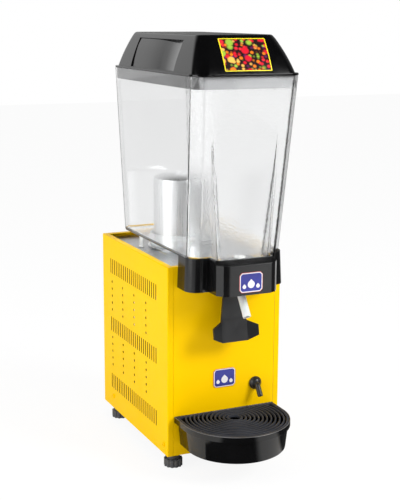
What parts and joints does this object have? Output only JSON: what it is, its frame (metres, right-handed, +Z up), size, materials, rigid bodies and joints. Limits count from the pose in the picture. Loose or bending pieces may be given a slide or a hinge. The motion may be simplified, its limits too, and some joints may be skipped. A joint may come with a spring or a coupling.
{
  "type": "cold drink dispenser",
  "caption": "Counter-top cold drink dispenser: clear bowl with domed lid on a vented cabinet, push-lever tap over a half-round drip tray.",
  "frame": {"origin": "on the table, under the middle of the outline of the whole machine", "axes": "+Z up; the drip tray and the tap face -Y; +X is to the right seen from the front"},
  "size_m": [0.202, 0.4358, 0.684],
  "materials": {
    "cabinet_yellow": "gloss powder coat",
    "galvanised": "zinc plated",
    "stainless": "satin",
    "clear_plastic": "clear moulded",
    "lid_black": "high gloss",
    "label_print": "printed film",
    "tap_black": "gloss",
    "lever_black": "fine grain",
    "badge_blue": "domed",
    "tray_black": "gloss",
    "white_plastic": "smooth",
    "white_silicone": "soft",
    "black_rubber": "matt",
    "foot_black": "fluted",
    "drain_black": "smooth",
    "fitting_black": "smooth",
    "thermostat_steel": "plain",
    "motor_steel": "plain",
    "compressor_black": "satin",
    "condenser_fins": "plain",
    "fan_aluminium": "plain",
    "copper_line": "drawn copper",
    "foam": "foam"
  },
  "bodies": {
    "cabinet": {"side_shell_left": "cabinet_yellow", "side_shell_right": "cabinet_yellow", "front_panel": "cabinet_yellow", "rear_panel": "cabinet_yellow", "shell_screws": "cabinet_yellow", "base_pan": "galvanised", "fan_shroud": "galvanised", "fan_bracket": "galvanised", "tray_hooks": "galvanised", "top_deck": "stainless", "evaporator": "stainless", "tap_housing": "tap_black", "housing_badge": "badge_blue", "panel_badge": "badge_blue", "bowl_posts": "white_plastic", "bowl_gasket": "white_silicone", "pinch_tube": "white_silicone", "compressor_grommets": "black_rubber", "drain_spout": "drain_black", "switch_body": "fitting_black", "cord_gland": "fitting_black", "start_relay": "fitting_black", "thermostat_body": "thermostat_steel", "lever_pin": "thermostat_steel", "lever_spring": "thermostat_steel", "fan_motor": "motor_steel", "stirrer_motor": "motor_steel", "compressor": "compressor_black", "condenser": "condenser_fins", "refrigerant_lines": "copper_line", "filter_drier": "copper_line", "foam_block": "foam"},
    "bowl": {"bowl": "clear_plastic", "bowl_spigot": "white_plastic"},
    "lid": {"lid": "lid_black", "lid_label": "label_print"},
    "impeller": {"impeller": "white_plastic"},
    "drive_rotor": {"drive_magnet": "motor_steel"},
    "fan": {"fan_blade": "fan_aluminium"},
    "lever": {"tap_lever": "lever_black"},
    "tray": {"drip_tray": "tray_black"},
    "grille": {"drip_grille": "tray_black"},
    "rocker": {"switch_rocker": "fitting_black"},
    "knob": {"thermostat_knob": "fitting_black"},
    "foot_front_left_body": {"foot_front_left": "foot_black"},
    "foot_front_right_body": {"foot_front_right": "foot_black"},
    "foot_rear_left_body": {"foot_rear_left": "foot_black"},
    "foot_rear_right_body": {"foot_rear_right": "foot_black"}
  },
  "joints": [
    {"name": "bowl_lift", "type": "slide", "parent": "cabinet", "child": "bowl", "axis": [0, 0, 1], "range_m": [0, 0.12]},
    {"name": "lid_lift", "type": "slide", "parent": "bowl", "child": "lid", "axis": [0, 0, 1], "range_m": [0, 0.06]},
    {"name": "stirrer_spin", "type": "hinge", "parent": "cabinet", "child": "drive_rotor", "pos_m": [0, -0.0081, 0.338], "axis": [0, 0, 1], "continuous": true},
    {"name": "impeller_spin", "type": "hinge", "parent": "bowl", "child": "impeller", "pos_m": [0, -0.0081, 0.355], "axis": [0, 0, 1], "continuous": true},
    {"name": "fan_spin", "type": "hinge", "parent": "cabinet", "child": "fan", "pos_m": [0, -0.0146, 0.1285], "axis": [0, 1, 0], "continuous": true},
    {"name": "lever_push", "type": "hinge", "parent": "cabinet", "child": "lever", "pos_m": [0, -0.1211, 0.337], "axis": [1, 0, 0], "range_deg": [0, 14], "stiffness_Nm_per_rad": 0.6, "springref_deg": -17.19, "deforming": ["lever_spring"]},
    {"name": "tray_lift", "type": "slide", "parent": "cabinet", "child": "tray", "axis": [0, 0, 1], "range_m": [0, 0.008]},
    {"name": "grille_lift", "type": "slide", "parent": "tray", "child": "grille", "axis": [0, 0, 1], "range_m": [0, 0.008]},
    {"name": "rocker_tilt", "type": "hinge", "parent": "cabinet", "child": "rocker", "pos_m": [-0.045, 0.2049, 0.27], "axis": [1, 0, 0], "range_deg": [0, 20]},
    {"name": "knob_turn", "type": "hinge", "parent": "cabinet", "child": "knob", "pos_m": [0.045, 0.2059, 0.27], "axis": [0, 1, 0], "range_deg": [0, 270]},
    {"name": "foot_front_left_screw", "type": "slide", "parent": "cabinet", "child": "foot_front_left_body", "axis": [0, 0, -1], "range_m": [0, 0.01]},
    {"name": "foot_rear_left_screw", "type": "slide", "parent": "cabinet", "child": "foot_rear_left_body", "axis": [0, 0, -1], "range_m": [0, 0.01]},
    {"name": "foot_front_right_screw", "type": "slide", "parent": "cabinet", "child": "foot_front_right_body", "axis": [0, 0, -1], "range_m": [0, 0.01]},
    {"name": "foot_rear_right_screw", "type": "slide", "parent": "cabinet", "child": "foot_rear_right_body", "axis": [0, 0, -1], "range_m": [0, 0.01]}
  ],
  "couplings": [
    {"joint": "impeller_spin", "follows": "stirrer_spin", "ratio": 1}
  ]
}
